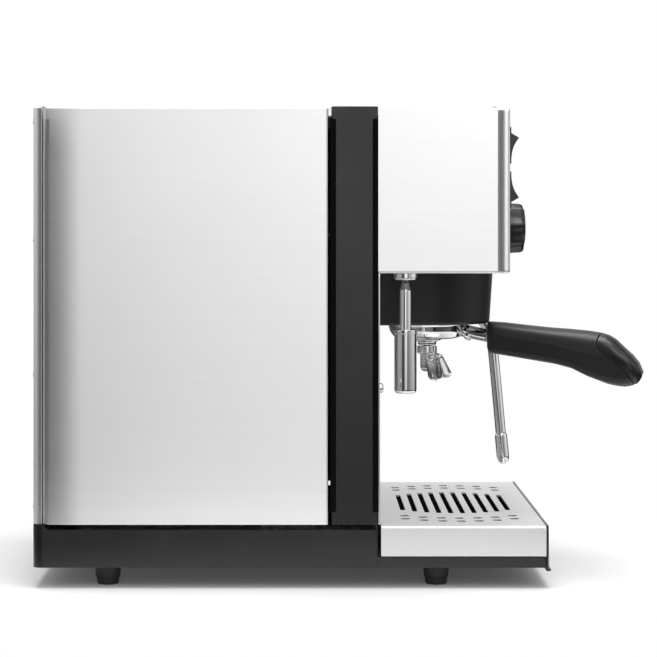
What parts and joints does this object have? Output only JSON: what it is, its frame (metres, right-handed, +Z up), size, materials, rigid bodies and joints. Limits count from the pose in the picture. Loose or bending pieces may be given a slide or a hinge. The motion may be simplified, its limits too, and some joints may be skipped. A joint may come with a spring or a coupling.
{
  "type": "espresso machine",
  "caption": "Home espresso machine: steel cabinet and head on a black base, portafilter with twin spout, steam wand and knob, rocker switches, drip tray and lift-out water tank.",
  "frame": {"origin": "centre of the machine's box, on the counter under its feet", "axes": "+Z up; the front, with the switches and handle, faces -Y; the user's left is -X"},
  "size_m": [0.235, 0.442, 0.34],
  "materials": {
    "brushed_steel": "fine horizontal brushing",
    "polished_steel": "bright polish",
    "black_paint": "satin textured powder coat",
    "switch_plastic": "satin moulded",
    "handle_plastic": "soft matte moulded",
    "rubber": "moulded",
    "brass": "machined",
    "cast_alloy": "cast",
    "copper": "drawn tube",
    "clear_plastic": "clear moulded plastic",
    "pump_plastic": "moulded",
    "red_lens": "translucent lens",
    "amber_lens": "translucent lens"
  },
  "bodies": {
    "chassis": {"left_side_panel": "brushed_steel", "right_side_panel": "brushed_steel", "rear_panel": "brushed_steel", "splash_panel": "brushed_steel", "head_shell": "brushed_steel", "front_panel": "brushed_steel", "top_tray": "brushed_steel", "splash_screw_left": "polished_steel", "splash_screw_right": "polished_steel", "shower_screen": "polished_steel", "shower_screw": "polished_steel", "discharge_nut": "polished_steel", "discharge_tube": "polished_steel", "discharge_sleeve": "polished_steel", "wand_socket": "polished_steel", "base_frame": "black_paint", "front_column": "black_paint", "pump_bracket": "black_paint", "switch_housing_upper_left": "switch_plastic", "switch_housing_upper_right": "switch_plastic", "switch_housing_lower_left": "switch_plastic", "switch_housing_lower_right": "switch_plastic", "power_inlet": "switch_plastic", "group_cover": "switch_plastic", "foot_rear_left": "rubber", "foot_rear_right": "rubber", "foot_front_left": "rubber", "foot_front_right": "rubber", "group_gasket": "rubber", "boiler_body": "brass", "boiler_cover": "brass", "steam_valve_body": "brass", "group_head": "cast_alloy", "brew_thermostat": "cast_alloy", "steam_thermostat": "cast_alloy", "solenoid_valve": "cast_alloy", "steam_pipe": "copper", "valve_pipe": "copper", "feed_pipe": "copper", "pump": "pump_plastic", "tank_coupling": "pump_plastic", "lamp_upper": "red_lens", "lamp_lower": "amber_lens"},
    "portafilter": {"portafilter_body": "polished_steel", "filter_basket": "polished_steel", "double_spout": "polished_steel", "handle_grip": "handle_plastic", "handle_end_cap": "handle_plastic"},
    "drip_pan": {"drip_pan": "black_paint"},
    "drip_grille": {"drip_grille": "brushed_steel"},
    "water_tank": {"water_tank": "clear_plastic"},
    "tank_lid": {"tank_lid": "brushed_steel"},
    "steam_knob": {"steam_knob": "switch_plastic", "steam_spindle": "polished_steel"},
    "steam_wand": {"steam_wand": "polished_steel", "wand_nozzle": "polished_steel"},
    "rocker_upper_left": {"rocker_upper_left": "switch_plastic"},
    "rocker_upper_right": {"rocker_upper_right": "switch_plastic"},
    "rocker_lower_left": {"rocker_lower_left": "switch_plastic"},
    "rocker_lower_right": {"rocker_lower_right": "switch_plastic"}
  },
  "joints": [
    {"name": "rocker_upper_left_tip", "type": "hinge", "parent": "chassis", "child": "rocker_upper_left", "pos_m": [-0.087, -0.11438, 0.3132], "axis": [1, 0, 0], "range_deg": [-38, 0]},
    {"name": "rocker_upper_right_tip", "type": "hinge", "parent": "chassis", "child": "rocker_upper_right", "pos_m": [-0.06, -0.11438, 0.3132], "axis": [1, 0, 0], "range_deg": [-38, 0]},
    {"name": "rocker_lower_left_tip", "type": "hinge", "parent": "chassis", "child": "rocker_lower_left", "pos_m": [-0.087, -0.11438, 0.2812], "axis": [1, 0, 0], "range_deg": [0, 38]},
    {"name": "rocker_lower_right_tip", "type": "hinge", "parent": "chassis", "child": "rocker_lower_right", "pos_m": [-0.06, -0.11438, 0.2812], "axis": [1, 0, 0], "range_deg": [0, 38]},
    {"name": "steam_knob_turn", "type": "hinge", "parent": "chassis", "child": "steam_knob", "pos_m": [0.072, -0.12, 0.2522], "axis": [0, -1, 0], "range_deg": [0, 300]},
    {"name": "steam_wand_swivel", "type": "hinge", "parent": "chassis", "child": "steam_wand", "pos_m": [0.085, -0.08988, 0.2132], "axis": [0, 0, 1], "range_deg": [-30, 75]},
    {"name": "portafilter_lock", "type": "hinge", "parent": "chassis", "child": "portafilter", "pos_m": [0, -0.06438, 0.19], "axis": [0, 0, 1], "range_deg": [-43, 0]},
    {"name": "drip_pan_slide", "type": "slide", "parent": "chassis", "child": "drip_pan", "axis": [0, -1, 0], "range_m": [0, 0.11]},
    {"name": "drip_grille_lift", "type": "slide", "parent": "drip_pan", "child": "drip_grille", "axis": [0, 0, 1], "range_m": [0, 0.014]},
    {"name": "water_tank_lift", "type": "slide", "parent": "chassis", "child": "water_tank", "axis": [0, 0, 1], "range_m": [0, 0.12]},
    {"name": "tank_lid_lift", "type": "slide", "parent": "water_tank", "child": "tank_lid", "axis": [0, 0, 1], "range_m": [0, 0.03]}
  ]
}
